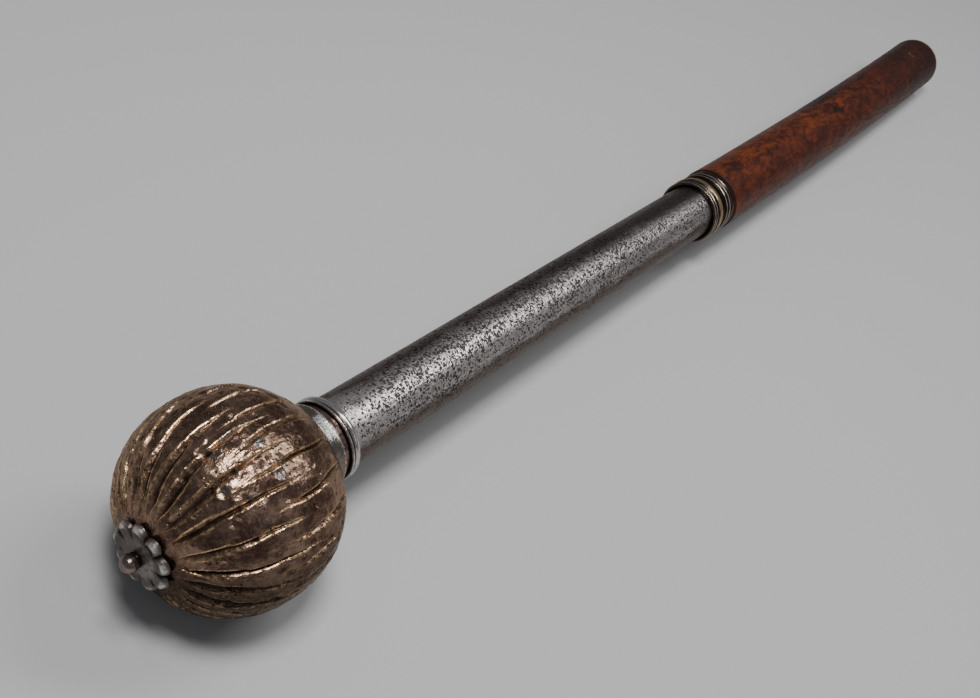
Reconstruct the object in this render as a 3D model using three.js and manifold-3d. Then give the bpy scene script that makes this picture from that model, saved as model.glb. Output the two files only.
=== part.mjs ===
// A ceremonial mace that lies on a table: a ribbed metal head with a short neck, a flower
// washer and a round rivet on its front, a round steel haft with two turned beads at the
// neck, a turned ferrule and a burl wood grip. Units are millimetres, Z is up, and the
// grip points to +X.
//
// Every piece is first worked out in the mace's own frame: x runs along the haft's axis
// from the middle of the head, and angles around the axis start at the top and turn to
// -Y. The last step lays the mace down, with the head and the grip's end on the floor.

import * as THREE from 'three';
import Module from 'manifold-3d';
import { mergeVertices } from 'three/addons/utils/BufferGeometryUtils.js';

const wasm = await Module();
wasm.setup();

// Driving sizes, in millimetres.
const headRadius = 34.3;
const headFrontLength = 33.1;
const headRearLength = 31.3;
const headRoundness = 2.14;
const headSideShift = 0.8;
const ribCount = 24;
const grooveDepth = 1.3;
const grooveWidth = 3.4;
const washerRadius = 11.6;
const washerThickness = 1.5;
const petalCount = 9;
const petalTurn = 22;
const petalNotch = 2.5;
const petalRise = 0.8;
const rivetRadius = 2.9;
const rivetHeight = 4.8;
const haftRadius = 12.5;
const haftLength = 268.3;
const neckLength = 6.4;
const neckWall = 2.2;
const beadRise = 2.0;
const beadRunLength = 6.4;
const ferruleLength = 19.8;
const ferruleWall = 1.9;
const gripLength = 299.8;
const gripFrontRadius = 14.9;
const gripEndRadius = 15.9;
const gripBend = 5.4;
const gripRimEase = 1.2;
const headFlatDepth = 0.6;
const gripFlatDepth = 0.5;
const jointGap = 0.3;

// Worked-out sizes that tie the pieces together.
const boreRadius = haftRadius + jointGap;
const ferruleRadius = haftRadius + ferruleWall;
const neckRadius = haftRadius + neckWall;
const neckFlare = 0.7;
const rootTurn = Math.acos(((neckRadius + neckFlare) / headRadius) ** (headRoundness / 2));
const neckStart = headRearLength * axialShare(rootTurn);
const neckEnd = neckStart + neckLength;
const haftStart = neckEnd + jointGap;
const haftEnd = haftStart + haftLength;
const ferruleStart = haftEnd - ferruleLength;
const gripStart = haftEnd + jointGap;
const gripEnd = gripStart + gripLength;
const restHeight = headRadius - headFlatDepth;
const gripRest = gripEndRadius - gripFlatDepth;
const reach = Math.hypot(gripEnd, gripRest);
const layAngle = Math.asin(restHeight / reach) - Math.atan2(gripRest, gripEnd);

const radians = (degrees) => (degrees * Math.PI) / 180;

// The share of the half length that a point at a turn of t from the equator reaches.
function axialShare(t) {
  return Math.abs(Math.sin(t)) ** (2 / headRoundness);
}

// A bump of height one in the middle of a range that falls smoothly to zero at its ends.
function swell(value, start, peakStart, peakEnd, end) {
  const ease = (k) => k * k * (3 - 2 * k);
  const rise = Math.min(1, Math.max(0, (value - start) / (peakStart - start)));
  const fall = Math.min(1, Math.max(0, (end - value) / (end - peakEnd)));
  return ease(rise) * ease(fall);
}

// A closed mesh from points and triangles, welded, with its own normals.
function solid(points, triangles) {
  const geometry = new THREE.BufferGeometry();
  geometry.setAttribute('position', new THREE.Float32BufferAttribute(points, 3));
  geometry.setIndex(triangles);
  return geometry;
}

// A surface of rings: ring r has `columns` points and both ends close on one point each.
// place(r, c) gives a point, and the rings run from the first pole to the last one.
function ringSolid(ringCount, columns, firstPole, lastPole, place) {
  const points = [...firstPole];
  for (let r = 0; r < ringCount; r += 1) {
    for (let c = 0; c < columns; c += 1) points.push(...place(r, c));
  }
  points.push(...lastPole);
  const last = 1 + ringCount * columns;
  const at = (r, c) => 1 + r * columns + (c % columns);
  const triangles = [];
  for (let c = 0; c < columns; c += 1) {
    triangles.push(0, at(0, c + 1), at(0, c));
    triangles.push(last, at(ringCount - 1, c), at(ringCount - 1, c + 1));
    for (let r = 0; r + 1 < ringCount; r += 1) {
      triangles.push(at(r, c), at(r, c + 1), at(r + 1, c + 1));
      triangles.push(at(r, c), at(r + 1, c + 1), at(r + 1, c));
    }
  }
  return solid(points, triangles);
}

// A turned ring around the haft: profile is a closed loop of [x, radius] corners, with the
// bore first and the outside after it.
function turnedRing(profile, columns) {
  const rows = profile.length;
  const points = [];
  for (const [x, radius] of profile) {
    for (let c = 0; c < columns; c += 1) points.push(...around(x, radius, (360 * c) / columns));
  }
  const at = (r, c) => (r % rows) * columns + (c % columns);
  const triangles = [];
  for (let r = 0; r < rows; r += 1) {
    for (let c = 0; c < columns; c += 1) {
      triangles.push(at(r, c), at(r + 1, c + 1), at(r, c + 1));
      triangles.push(at(r, c), at(r + 1, c), at(r + 1, c + 1));
    }
  }
  return solid(points, triangles);
}

// The point at x along the axis, at a radius and an angle in degrees from the top to -Y.
function around(x, radius, angle) {
  return [x, -radius * Math.sin(radians(angle)), radius * Math.cos(radians(angle))];
}

// The angle of rib groove number i of the front set. The spacing wanders as hand work does.
function frontGroove(i) {
  const turn = (2 * Math.PI * i) / ribCount;
  return -43.2 + (360 * i) / ribCount + 4.9 * Math.sin(2 * turn + 3.46) + Math.sin(5 * turn - 0.785);
}

// The rear set starts between each two grooves of the front set.
function rearGroove(i) {
  return (frontGroove(i) + frontGroove(i + 1)) / 2;
}

// How deep each set is cut at a latitude in degrees from the front pole.
const frontCut = (latitude) => swell(latitude, 14, 38, 62, 97);
const rearCut = (latitude) => swell(latitude, 62, 98, 112, 138);

// The head's plain outline at a latitude: [x, radius].
function headOutline(latitude) {
  const t = radians(latitude - 90);
  const length = t < 0 ? -headFrontLength : headRearLength;
  return [length * axialShare(t), headRadius * Math.abs(Math.cos(t)) ** (2 / headRoundness)];
}

// The head and its neck: rings of latitude whose columns follow both sets of grooves, six
// to a rib, then the plain rings of the neck.
function makeHead() {
  const rootLatitude = 90 + (rootTurn * 180) / Math.PI;
  const latitudes = [10, 18, 27, 37, 47, 57, 67, 77, 87, 97, 107, 117, 129, 142];
  const ribbed = [...latitudes.filter((latitude) => latitude < rootLatitude - 3), rootLatitude];
  const neck = [
    [neckStart + 0.3 * neckLength, neckRadius + 0.3 * neckFlare],
    [neckEnd, neckRadius],
  ];
  const outline = [...ribbed.map(headOutline), ...neck];
  const edge = ((grooveWidth / 2 / headRadius) * 180) / Math.PI;
  const columns = 6 * ribCount;
  const place = (r, c) => {
    const rib = Math.floor(c / 6);
    const front = frontGroove(rib);
    const rear = rearGroove(rib);
    const next = frontGroove(rib + 1);
    const angle = [front, front + edge, rear - edge, rear, rear + edge, next - edge][c % 6];
    const latitude = r < ribbed.length ? ribbed[r] : 180;
    const cut = [frontCut(latitude), 0, 0, rearCut(latitude), 0, 0][c % 6] * grooveDepth;
    const [x, radius] = outline[r];
    const [px, py, pz] = around(x, radius, angle);
    const inward = 1 - cut / headRadius;
    const aside = headSideShift * (r < ribbed.length ? 1 : (neckEnd - x) / neckLength);
    return [px * inward, py * inward - aside, pz * inward];
  };
  return ringSolid(outline.length, columns, [-headFrontLength, -headSideShift, 0], [neckEnd, 0, 0], place);
}

// How far the head's front stands at a distance from the axis, plus a rise off its skin.
function frontX(distance, rise) {
  const share = Math.min(1, distance / headRadius);
  const inside = Math.max(0, 1 - share ** headRoundness);
  return -headFrontLength * inside ** (1 / headRoundness) - rise;
}

// The flower washer: a dished disc whose rounded petals rise and roll over at their tips.
function makeWasher() {
  const steps = [0.4, 0.66, 0.88, 1];
  const columnsPerPetal = 6;
  const columns = petalCount * columnsPerPetal;
  const petal = (c) => Math.abs(Math.cos((Math.PI * c) / columnsPerPetal)) ** 0.7;
  const rings = [];
  for (const step of steps) rings.push([step, true]);
  for (const step of [...steps].reverse()) rings.push([step, false]);
  const place = (r, c) => {
    const [step, outside] = rings[r];
    const distance = step * (washerRadius - petalNotch * (1 - petal(c)));
    const crown = petalRise * petal(c) * swell(step, 0.4, 0.8, 0.9, 1.08);
    const edge = step === 1 ? 0.6 : 1;
    const rise = outside ? jointGap + washerThickness * edge + crown : jointGap;
    const [, y, z] = around(0, distance, petalTurn + (360 * c) / columns);
    return [frontX(distance, rise), y - headSideShift, z];
  };
  const firstPole = [frontX(0, jointGap + washerThickness), -headSideShift, 0];
  const lastPole = [frontX(0, jointGap), -headSideShift, 0];
  return ringSolid(rings.length, columns, firstPole, lastPole, place);
}

// The rivet: a round-headed knob with a low foot, standing on the washer.
function makeRivet() {
  const base = frontX(0, 2 * jointGap + washerThickness);
  const shape = [
    [1, 0.34],
    [0.94, 0.62],
    [0.76, 0.86],
    [0.52, 1],
    [0.26, 0.97],
    [0.17, 0.84],
    [0.08, 0.9],
    [0, 0.9],
  ];
  const place = (r, c) => {
    const [height, width] = shape[r];
    const [x, y, z] = around(base - height * rivetHeight, width * rivetRadius, (360 * c) / 24);
    return [x, y - headSideShift, z];
  };
  const firstPole = [base - 1.03 * rivetHeight, -headSideShift, 0];
  return ringSolid(shape.length, 24, firstPole, [base, -headSideShift, 0], place);
}

// The haft: a fine bead, a round bead with grooves before them, then a plain round bar.
function makeHaft() {
  const beads = [
    [0, 0.4],
    [0.13, 0.4],
    [0.17, 0.85],
    [0.28, 0.85],
    [0.34, 0.42],
    [0.55, 0.4],
    [0.62, 0.82],
    [0.76, 1],
    [0.9, 0.82],
    [0.97, 0],
  ];
  const stations = beads.map(([along, share]) => [
    haftStart + along * beadRunLength,
    haftRadius + share * beadRise,
  ]);
  stations.push([haftEnd - 0.8, haftRadius]);
  stations.push([haftEnd, haftRadius - 0.7]);
  const place = (r, c) => around(stations[r][0], stations[r][1], (360 * c) / 40);
  return ringSolid(stations.length, 40, [haftStart, 0, 0], [haftEnd, 0, 0], place);
}

// The ferrule at the mouth of the grip: a rim, a fine line, a round bead, two fine beads.
function makeFerrule() {
  const rise = (share) => boreRadius + (ferruleRadius - boreRadius) * share;
  const outside = [
    [1, 0.98],
    [0.87, 0.98],
    [0.83, 0.74],
    [0.79, 1.02],
    [0.72, 1.02],
    [0.69, 0.76],
    [0.645, 0.98],
    [0.6, 0.66],
    [0.46, 0.62],
    [0.42, 0.92],
    [0.34, 1.2],
    [0.25, 1.12],
    [0.19, 0.7],
    [0.13, 0.96],
    [0.1, 0.78],
    [0.07, 1.06],
    [0.02, 1.04],
    [0, 0.78],
  ];
  const profile = [
    [ferruleStart, boreRadius],
    [haftEnd, boreRadius],
  ];
  for (const [along, share] of outside) profile.push([ferruleStart + along * ferruleLength, rise(share)]);
  return turnedRing(profile, 40);
}

// The grip's sideways bend at a share of its length, and the slope of that bend.
const bendAt = (share) => gripBend * Math.max(0, share) ** 2.2;
const slopeAt = (share) => (2.2 * gripBend * Math.max(0, share) ** 1.2) / gripLength;

// The grip: a burl wood stick that swells and bends a little, cut off square at its end.
function makeGrip() {
  const shares = [0, 0.004, 0.08, 0.2, 0.32, 0.44, 0.56, 0.68, 0.78, 0.87, 0.94];
  const stations = shares.map((share) => [share, share === 0 ? 0.965 : 1]);
  stations.push([1 - gripRimEase / gripLength, 1]);
  stations.push([1, 1 - (0.5 * gripRimEase) / gripEndRadius]);
  const radiusAt = (share) => gripFrontRadius + (gripEndRadius - gripFrontRadius) * share;
  const spine = (share, radius, angle) => {
    const [, y, z] = around(0, radius, angle);
    const slope = slopeAt(share);
    const turned = Math.hypot(1, slope);
    const x = gripStart + share * gripLength - (y * slope) / turned;
    return [x, bendAt(share) + y / turned, z];
  };
  const place = (r, c) => {
    const [share, fullness] = stations[r];
    return spine(share, radiusAt(share) * fullness, (360 * c) / 40);
  };
  const firstPole = [gripStart, 0, 0];
  const lastPole = [gripEnd, bendAt(1), 0];
  return ringSolid(stations.length, 40, firstPole, lastPole, place);
}

// Lay a piece down: tilt it so that the head and the grip's end share the floor.
const layDown = new THREE.Matrix4()
  .makeTranslation(-(gripEnd - headFrontLength) / 2, 0, restHeight)
  .multiply(new THREE.Matrix4().makeRotationY(layAngle));

// The same piece as a closed solid for joining and cutting.
function toManifold(geometry) {
  const bare = geometry.clone();
  bare.deleteAttribute('normal');
  bare.deleteAttribute('uv');
  const welded = mergeVertices(bare, 1e-5);
  const mesh = new wasm.Mesh({
    numProp: 3,
    vertProperties: Float32Array.from(welded.attributes.position.array),
    triVerts: Uint32Array.from(welded.index.array),
  });
  return new wasm.Manifold(mesh);
}

function fromManifold(manifold) {
  const mesh = manifold.getMesh();
  return solid(Array.from(mesh.vertProperties), Array.from(mesh.triVerts));
}

// Cut away what lies below the floor, which leaves the small flat spot a piece rests on.
function sitFlat(geometry) {
  const depth = headRadius;
  const below = new THREE.BoxGeometry(4 * reach, 8 * headRadius, depth).translate(0, 0, -depth / 2);
  return fromManifold(toManifold(geometry).subtract(toManifold(below)));
}

const steel = new THREE.MeshStandardMaterial({ color: 0x8d8886, metalness: 0.9, roughness: 0.4 });
const bronzedSteel = new THREE.MeshStandardMaterial({ color: 0x6b5137, metalness: 0.8, roughness: 0.45 });
const darkIron = new THREE.MeshStandardMaterial({ color: 0x4a4442, metalness: 0.8, roughness: 0.5 });
const burlWood = new THREE.MeshStandardMaterial({ color: 0x5a2a1c, metalness: 0.0, roughness: 0.5 });

const mace = new THREE.Group();
mace.name = 'ceremonial_mace';

function addPiece(name, geometry, material, restsOnFloor) {
  geometry.applyMatrix4(layDown);
  const piece = restsOnFloor ? sitFlat(geometry) : geometry;
  piece.computeVertexNormals();
  const mesh = new THREE.Mesh(piece, material);
  mesh.name = name;
  mace.add(mesh);
}

addPiece('ribbed_head', makeHead(), bronzedSteel, true);
addPiece('flower_washer', makeWasher(), darkIron, false);
addPiece('end_rivet', makeRivet(), darkIron, false);
addPiece('steel_haft', makeHaft(), steel, false);
addPiece('grip_ferrule', makeFerrule(), steel, false);
addPiece('wood_grip', makeGrip(), burlWood, true);

// Put the origin under the middle of the bounding box.
const box = new THREE.Box3().setFromObject(mace, true);
for (const mesh of mace.children) {
  mesh.geometry.translate(-(box.min.x + box.max.x) / 2, -(box.min.y + box.max.y) / 2, 0);
}

export default mace;
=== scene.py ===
"""Looks of a ceremonial mace that lies on a pale studio floor.

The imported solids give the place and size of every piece. Each visible piece is a finer
surface worked out here on a grid: the ribbed head with its neck, the flower washer, the
rivet, the steel haft with its turned beads, the ferrule and the burl wood grip.

Lengths are millimetres in the mace's own frame, where x runs along the haft's axis from the
middle of the head and angles start at the top and turn towards -y. MaceFrame turns that
frame into the row frame, in metres.
"""

import logging
import math
from dataclasses import dataclass, field
from enum import Enum

import bpy
import numpy as np
from mathutils import Matrix, Quaternion, Vector


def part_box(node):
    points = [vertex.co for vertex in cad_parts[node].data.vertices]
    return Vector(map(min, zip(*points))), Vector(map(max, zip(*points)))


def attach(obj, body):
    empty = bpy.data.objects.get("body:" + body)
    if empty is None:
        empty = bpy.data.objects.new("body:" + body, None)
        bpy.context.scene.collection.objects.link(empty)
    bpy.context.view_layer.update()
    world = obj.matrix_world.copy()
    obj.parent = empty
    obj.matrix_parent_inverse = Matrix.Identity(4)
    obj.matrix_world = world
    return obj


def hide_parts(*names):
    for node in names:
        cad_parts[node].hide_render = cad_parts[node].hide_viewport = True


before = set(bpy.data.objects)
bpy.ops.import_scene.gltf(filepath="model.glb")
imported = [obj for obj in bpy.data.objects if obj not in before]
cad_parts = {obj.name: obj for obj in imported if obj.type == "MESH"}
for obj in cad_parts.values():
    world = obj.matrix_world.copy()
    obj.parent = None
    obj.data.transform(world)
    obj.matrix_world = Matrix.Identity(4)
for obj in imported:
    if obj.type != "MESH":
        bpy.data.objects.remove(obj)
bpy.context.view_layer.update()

log = logging.getLogger("mace")
Array = np.ndarray

# Metres in a millimetre.
MM = 0.001
# In millimetres, how near to the axis a profile ends and the step at which it is smoothed.
AXIS_GAP = 0.3
FINE_STEP = 0.04
# The distance, in cells of a scatter, that stands for no spot.
FAR = 9.0
FULL_TURN = 2 * np.pi


# Sizes and frame


@dataclass(frozen=True)
class MaceSizes:
    """The driving sizes of the mace in millimetres, as the solids have them."""

    head_radius: float = 34.3
    head_front: float = 33.1
    head_rear: float = 31.3
    head_roundness: float = 2.14
    head_side_shift: float = 0.8
    rib_count: int = 24
    groove_depth: float = 1.25
    groove_half_width: float = 1.15
    neck_length: float = 6.4
    neck_wall: float = 2.2
    neck_flare: float = 0.7
    washer_radius: float = 11.6
    washer_thickness: float = 1.5
    petal_count: int = 9
    petal_turn: float = 22.0
    petal_notch: float = 2.5
    petal_rise: float = 0.8
    rivet_radius: float = 2.9
    rivet_height: float = 4.8
    haft_radius: float = 12.5
    haft_length: float = 268.3
    bead_rise: float = 2.0
    bead_run: float = 6.4
    ferrule_length: float = 19.8
    ferrule_wall: float = 1.9
    grip_length: float = 299.8
    grip_front_radius: float = 14.9
    grip_end_radius: float = 15.9
    grip_bend: float = 5.4
    grip_rim_ease: float = 1.2
    head_flat_depth: float = 0.6
    grip_flat_depth: float = 0.5
    joint_gap: float = 0.3

    @property
    def bore_radius(self) -> float:
        """Inner radius of the ring that sits on the haft."""
        return self.haft_radius + self.joint_gap

    @property
    def neck_radius(self) -> float:
        """Radius of the head's neck at its open end."""
        return self.haft_radius + self.neck_wall

    @property
    def root_turn(self) -> float:
        """Turn past the equator, in radians, where the round head meets its neck."""
        share = (self.neck_radius + self.neck_flare) / self.head_radius
        return math.acos(share ** (self.head_roundness / 2))

    @property
    def neck_start(self) -> float:
        """Where the neck leaves the head."""
        return self.head_rear * math.sin(self.root_turn) ** (2 / self.head_roundness)

    @property
    def neck_end(self) -> float:
        """Where the neck stops."""
        return self.neck_start + self.neck_length

    @property
    def haft_start(self) -> float:
        """Where the haft starts."""
        return self.neck_end + self.joint_gap

    @property
    def haft_end(self) -> float:
        """Where the haft stops."""
        return self.haft_start + self.haft_length

    @property
    def grip_start(self) -> float:
        """Where the grip starts."""
        return self.haft_end + self.joint_gap

    @property
    def grip_end(self) -> float:
        """Where the grip stops."""
        return self.grip_start + self.grip_length

    @property
    def rest_height(self) -> float:
        """Height of the head's middle above the floor."""
        return self.head_radius - self.head_flat_depth

    @property
    def lay_angle(self) -> float:
        """Tilt in radians that puts the head and the grip's end on one floor."""
        rest = self.grip_end_radius - self.grip_flat_depth
        reach = math.hypot(self.grip_end, rest)
        return math.asin(self.rest_height / reach) - math.atan2(rest, self.grip_end)


@dataclass(frozen=True)
class MaceFrame:
    """Turns points of the mace's own frame, in millimetres, into the row frame, in metres."""

    sizes: MaceSizes

    @property
    def origin(self) -> Array:
        """Row position of the head's middle in millimetres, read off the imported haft."""
        low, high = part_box("steel_haft")
        tilt = self.sizes.lay_angle
        end_rim = self.sizes.haft_radius - 0.7
        end = self.sizes.haft_end * math.cos(tilt) + end_rim * math.sin(tilt)
        return np.array([high.x / MM - end, (low.y + high.y) / 2 / MM, self.sizes.rest_height])

    def to_row(self, points: Array) -> Array:
        """Turn and shift points.

        Args:
            points: (..., 3) positions in the mace's own frame, in millimetres.

        Returns:
            The same positions in the row frame, in metres.
        """
        tilt = self.sizes.lay_angle
        x = points[..., 0] * math.cos(tilt) + points[..., 2] * math.sin(tilt)
        z = -points[..., 0] * math.sin(tilt) + points[..., 2] * math.cos(tilt)
        return (np.stack([x, points[..., 1], z], -1) + self.origin) * MM


def around(x: Array, radius: Array, angle: Array) -> Array:
    """Points at a radius and an angle about the axis.

    The point is (x, -radius sin(angle), radius cos(angle)).

    Args:
        x: place along the axis in millimetres.
        radius: distance from the axis in millimetres.
        angle: angle in radians from the top towards -y.

    Returns:
        (..., 3) positions in the mace's own frame.
    """
    x, radius, angle = np.broadcast_arrays(x, radius, angle)
    return np.stack([x, -radius * np.sin(angle), radius * np.cos(angle)], -1)


def unit(value: Array) -> Array:
    """Values cut off at zero and one."""
    return np.clip(value, 0, 1)


def ease(value: Array, start: float, end: float) -> Array:
    """A smooth step: 3k^2 - 2k^3 of k, the clipped share of the way from start to end."""
    k = unit((value - start) / (end - start))
    return k * k * (3 - 2 * k)


def swell(value: Array, start: float, peak_start: float, peak_end: float, end: float) -> Array:
    """A bump of height one between two peaks that falls smoothly to zero at both ends."""
    return ease(value, start, peak_start) * (1 - ease(value, peak_end, end))


def drawn_out(points: Array, share: float) -> Array:
    """Points squeezed along the axis, which draws out along it the noise that reads them."""
    return points * np.array([share, 1, 1])


def bell(value: Array, middle: float, width: float) -> Array:
    """A bell curve of height one: e to the power -((value - middle) / width)^2."""
    return np.exp(-(((value - middle) / width) ** 2))


def ring_angles(columns: int) -> Array:
    """Even angles in radians once round, as one row."""
    return np.linspace(0, FULL_TURN, columns, endpoint=False)[None, :]


def signed_degrees(angle: Array) -> Array:
    """Angles in degrees from -180 to 180."""
    return (np.degrees(angle) + 180) % 360 - 180


# Noise on points


def lattice(cell: Array, seed: int) -> Array:
    """One repeatable number from 0 to 1 for each whole-number cell, by integer hashing."""
    c = cell.astype(np.int64)
    h = c[..., 0] * 374761393 + c[..., 1] * 668265263 + c[..., 2] * 1440662683 + seed * 974711
    h = h & 0xFFFFFFFF
    h = ((h ^ (h >> 13)) * 1274126177) & 0xFFFFFFFF
    h = ((h ^ (h >> 15)) * 2246822519) & 0xFFFFFFFF
    return ((h ^ (h >> 16)) & 0xFFFFFF) / float(0xFFFFFF)


def smooth_noise(points: Array, seed: int) -> Array:
    """Value noise from -1 to 1: the eight corner numbers of a cell, blended with smooth steps."""
    base = np.floor(points)
    k = points - base
    k = k * k * (3 - 2 * k)
    total = np.zeros(points.shape[:-1])
    for corner in np.ndindex(2, 2, 2):
        weight = np.prod([k[..., i] if corner[i] else 1 - k[..., i] for i in range(3)], axis=0)
        total += weight * lattice(base + np.array(corner), seed)
    return total * 2 - 1


def layered_noise(points: Array, size: float, layers: int, seed: int) -> Array:
    """Value noise of a given grain size in millimetres, each layer half as large and as strong."""
    total = np.zeros(points.shape[:-1])
    strength = 0.0
    for layer in range(layers):
        share = 0.5**layer
        total += share * smooth_noise(points / (size * share), seed + 17 * layer)
        strength += share
    return total / strength


def spots(points: Array, spacing: float, chance: float, seed: int) -> tuple[Array, Array]:
    """Scattered round spots: one per cell of a jittered lattice, kept by chance.

    Args:
        points: (..., 3) positions in millimetres.
        spacing: the lattice's cell size in millimetres.
        chance: share of the cells that hold a spot.
        seed: which scatter.

    Returns:
        The distance to the nearest spot in millimetres, and that spot's own number from 0 to 1.
    """
    grid = points / spacing
    base = np.floor(grid)
    best = np.full(points.shape[:-1], FAR)
    own = np.zeros(points.shape[:-1])
    for corner in np.ndindex(3, 3, 3):
        cell = base + np.array(corner) - 1
        jitter = np.stack([lattice(cell, seed + i) for i in range(3)], -1)
        apart = np.linalg.norm(cell + jitter - grid, axis=-1)
        apart = np.where(lattice(cell, seed + 5) < chance, apart, FAR)
        nearer = apart < best
        best = np.where(nearer, apart, best)
        own = np.where(nearer, lattice(cell, seed + 7), own)
    return best * spacing, own


# Meshes from grids


def run_along(corners: Array) -> Array:
    """Length along a polyline up to each of its corners."""
    return np.concatenate([[0.0], np.cumsum(np.linalg.norm(np.diff(corners, axis=0), axis=1))])


def profile_by_length(corners: Array, step: float, rounding: float) -> Array:
    """A turned profile with rounded corners and even steps.

    The polyline is sampled finely by its length, averaged over a window as long as the
    rounding, and sampled again at the step asked for.

    Args:
        corners: (n, 2) corners of the profile, [x, radius], in millimetres.
        step: length between the rows that come out.
        rounding: length over which a corner is softened.

    Returns:
        (rows, 2) points that start and end at the first and last corner.
    """
    run = run_along(corners)
    fine = np.linspace(0.0, run[-1], max(int(run[-1] / FINE_STEP), 8))
    dense = np.stack([np.interp(fine, run, corners[:, i]) for i in range(2)], -1)
    window = max(int(rounding / FINE_STEP), 1)
    padded = np.concatenate([np.repeat(dense[:1], window, 0), dense, np.repeat(dense[-1:], window, 0)])
    total = np.cumsum(np.concatenate([np.zeros((1, 2)), padded]), axis=0)
    half = window // 2
    middle = np.arange(len(dense)) + window
    soft = (total[middle + half + 1] - total[middle - half]) / (2 * half + 1)
    rows = np.linspace(0, len(soft) - 1, max(int(run[-1] / step), 3))
    out = np.stack([np.interp(rows, np.arange(len(soft)), soft[:, i]) for i in range(2)], -1)
    out[0], out[-1] = corners[0], corners[-1]
    return out


def outward_normals(profile: Array) -> Array:
    """Unit normals [along x, along the radius] of an [x, radius] profile that runs to +x outside."""
    slope = np.gradient(profile, axis=0)
    slope /= np.maximum(np.linalg.norm(slope, axis=1, keepdims=True), 1e-9)
    return np.stack([-slope[:, 1], slope[:, 0]], -1)


def add_object(name: str, data: bpy.types.ID) -> bpy.types.Object:
    """Add an object to the scene, at the origin."""
    made = bpy.data.objects.new(name, data)
    bpy.context.scene.collection.objects.link(made)
    return made


@dataclass
class Surface:
    """A closed surface on a grid of rows and columns, with masks for its material.

    The columns close on themselves. The rows either close on a point at both ends, or, where
    looped is true, the last row joins the first one, as on a ring.
    """

    name: str
    node: str
    points: Array
    masks: dict[str, Array] = field(default_factory=dict)
    looped: bool = False

    def faces(self) -> tuple[Array, Array]:
        """Vertex numbers of the quads and of the triangles at the two poles."""
        rows, columns = self.points.shape[:2]
        number = np.arange(rows * columns).reshape(rows, columns)
        right = np.roll(number, -1, axis=1)
        if self.looped:
            below, below_right = np.roll(number, -1, axis=0), np.roll(right, -1, axis=0)
            quads = np.stack([below, below_right, right, number], -1).reshape(-1, 4)
            return quads, np.zeros((0, 3), int)
        quads = np.stack([number[:-1], right[:-1], right[1:], number[1:]], -1).reshape(-1, 4)
        first, last = rows * columns, rows * columns + 1
        caps = [
            np.stack([np.full(columns, first), right[0], number[0]], -1),
            np.stack([np.full(columns, last), number[-1], right[-1]], -1),
        ]
        return quads, np.concatenate(caps)

    def with_poles(self, grid: Array) -> Array:
        """A (rows, columns, n) grid as a list, and the means of its first and last row for the poles."""
        flat = grid.reshape(-1, grid.shape[-1])
        return flat if self.looped else np.concatenate([flat, grid[:1].mean(1), grid[-1:].mean(1)])

    def build(
        self, mace: MaceFrame, material: bpy.types.Material, flat_on_floor: bool = False
    ) -> bpy.types.Object:
        """Make the Blender object, hide its CAD node and let it ride on the root body.

        Args:
            mace: the frame that turns the points into the row frame.
            material: what the piece is dressed in.
            flat_on_floor: press what would lie under the floor flat on it.

        Returns:
            The new object, at the origin, with smooth faces.
        """
        own = self.with_poles(self.points)
        placed = mace.to_row(own)
        if flat_on_floor:
            placed[:, 2] = np.maximum(placed[:, 2], 0.0)
        quads, triangles = self.faces()
        mesh = bpy.data.meshes.new(self.name)
        mesh.from_pydata(placed.tolist(), [], quads.tolist() + triangles.tolist(), shade_flat=False)
        self.write_masks(mesh, own)
        mesh.materials.append(material)
        piece = add_object(self.name, mesh)
        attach(piece, "root")
        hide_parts(self.node)
        return piece

    def write_masks(self, mesh: bpy.types.Mesh, own: Array) -> None:
        """Store each mask, and each point's place in the mace's own frame in metres, on the mesh.

        Args:
            mesh: the mesh that takes the attributes.
            own: (n, 3) positions in the mace's own frame in millimetres, poles included.
        """
        place = mesh.attributes.new("own", "FLOAT_VECTOR", "POINT")
        place.data.foreach_set("vector", (own * MM).astype(np.float32).ravel())
        for name, mask in self.masks.items():
            values = self.with_poles(np.broadcast_to(mask, self.points.shape[:2])[..., None])
            store = mesh.attributes.new(name, "FLOAT", "POINT")
            store.data.foreach_set("value", values.astype(np.float32).ravel())


# Shader building


@dataclass(frozen=True)
class Wire:
    """An output of a node. Sums and products with numbers or other wires add maths nodes."""

    tree: bpy.types.NodeTree
    socket: bpy.types.NodeSocket

    def maths(self, kind: str, other: object) -> "Wire":
        """Combine this value with a number or another wire in a maths node."""
        made = self.tree.nodes.new("ShaderNodeMath")
        made.operation = kind
        feed(self, made.inputs[0])
        feed(other, made.inputs[1])
        return Wire(self.tree, made.outputs[0])

    def __add__(self, other: object) -> "Wire":
        """The sum."""
        return self.maths("ADD", other)

    def __sub__(self, other: object) -> "Wire":
        """The difference."""
        return self.maths("SUBTRACT", other)

    def __mul__(self, other: object) -> "Wire":
        """The product."""
        return self.maths("MULTIPLY", other)

    def largest(self, other: object) -> "Wire":
        """The larger of two values."""
        return self.maths("MAXIMUM", other)


def feed(value: object, socket: bpy.types.NodeSocket) -> None:
    """Link a wire to an input, or set a plain value on it."""
    if isinstance(value, Wire):
        value.tree.links.new(value.socket, socket)
    else:
        socket.default_value = value


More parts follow.
